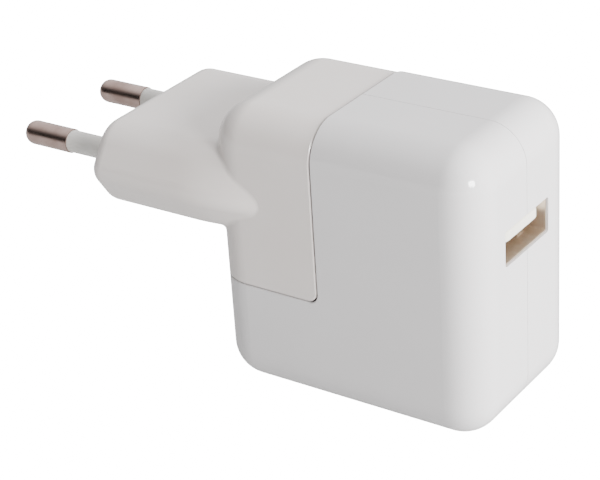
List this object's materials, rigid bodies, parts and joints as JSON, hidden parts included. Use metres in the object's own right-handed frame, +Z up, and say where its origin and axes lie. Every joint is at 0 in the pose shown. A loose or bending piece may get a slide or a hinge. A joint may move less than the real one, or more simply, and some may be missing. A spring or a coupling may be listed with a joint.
{
  "type": "usb wall charger",
  "caption": "Rounded white USB-A wall charger whose upper corner is a slide-off plug head with a flat body and two round sleeved pins.",
  "frame": {"origin": "centre of the housing's bottom face", "axes": "+X out of the USB receptacle, the plug pins point along -X; +Z up, away from the bottom face; +Y across the thickness"},
  "size_m": [0.0865, 0.0354, 0.0465],
  "materials": {
    "shell_white": "glossy white polycarbonate, moulded",
    "head_white": "glossy white polycarbonate, moulded, a touch warmer",
    "pin_nickel": "nickel-plated brass, polished, fine turning marks",
    "sleeve_white": "satin white nylon",
    "stud_steel": "turned stainless steel",
    "spring_steel": "rolled spring steel strip",
    "jack_steel": "nickel-plated stamped steel",
    "tongue_white": "cream white moulded thermoplastic",
    "contact_gold": "gold-plated contact strip",
    "contact_brass": "bare brass strip, lightly oxidised",
    "inlet_black": "black moulded nylon",
    "board_green": "solder mask over glass-epoxy laminate",
    "ferrite": "ground ferrite",
    "bobbin_black": "moulded phenolic",
    "winding_tape": "yellow polyester tape over wire",
    "copper_wire": "enamelled copper wire",
    "can_sleeve": "dark heat-shrink sleeve over an aluminium can",
    "disc_blue": "blue epoxy coat",
    "fuse_body": "ceramic fuse tube",
    "package_black": "black epoxy package",
    "spreader_aluminium": "rolled aluminium sheet",
    "sheet_film": "translucent polyester film",
    "post_tin": "tinned posts"
  },
  "bodies": {
    "charger": {"near_half_shell": "shell_white", "far_half_shell": "shell_white", "locking_stud": "stud_steel", "stud_retainer": "stud_steel", "inlet_carrier": "inlet_black", "inlet_prongs": "contact_brass", "usb_shell": "jack_steel", "usb_tongue": "tongue_white", "usb_contacts": "contact_gold", "primary_board": "board_green", "secondary_board": "board_green", "board_link_pins": "post_tin", "transformer_core": "ferrite", "transformer_bobbin": "bobbin_black", "transformer_winding": "winding_tape", "bulk_capacitors": "can_sleeve", "output_capacitors": "can_sleeve", "choke_core": "ferrite", "choke_windings": "copper_wire", "filter_inductor": "ferrite", "bridge_rectifier": "package_black", "fuse": "fuse_body", "y_capacitor": "disc_blue", "primary_heat_spreader": "spreader_aluminium", "switching_transistor": "package_black", "controller_chip": "package_black", "optocoupler": "package_black", "output_rectifier": "package_black", "insulation_sheet": "sheet_film"},
    "plug_head": {"plug_housing": "head_white", "slot_cover": "head_white", "track_plate": "spring_steel", "left_pin": "pin_nickel", "right_pin": "pin_nickel", "left_pin_sleeve": "sleeve_white", "right_pin_sleeve": "sleeve_white", "socket_boss": "inlet_black", "socket_contacts": "contact_brass", "contact_links": "contact_brass"},
    "left_leaf": {"left_latch_leaf": "spring_steel"},
    "right_leaf": {"right_latch_leaf": "spring_steel"}
  },
  "joints": [
    {"name": "plug_head_slide", "type": "slide", "parent": "charger", "child": "plug_head", "axis": [0, 0, 1], "range_m": [0, 0.03]},
    {"name": "left_leaf_hinge", "type": "hinge", "parent": "plug_head", "child": "left_leaf", "pos_m": [-0.0065, -0.0046, 0.0386], "axis": [-1, 0, 0], "range_deg": [0, 6], "stiffness_Nm_per_rad": 0.02},
    {"name": "right_leaf_hinge", "type": "hinge", "parent": "plug_head", "child": "right_leaf", "pos_m": [-0.0065, 0.0046, 0.0386], "axis": [1, 0, 0], "range_deg": [0, 6], "stiffness_Nm_per_rad": 0.02}
  ]
}
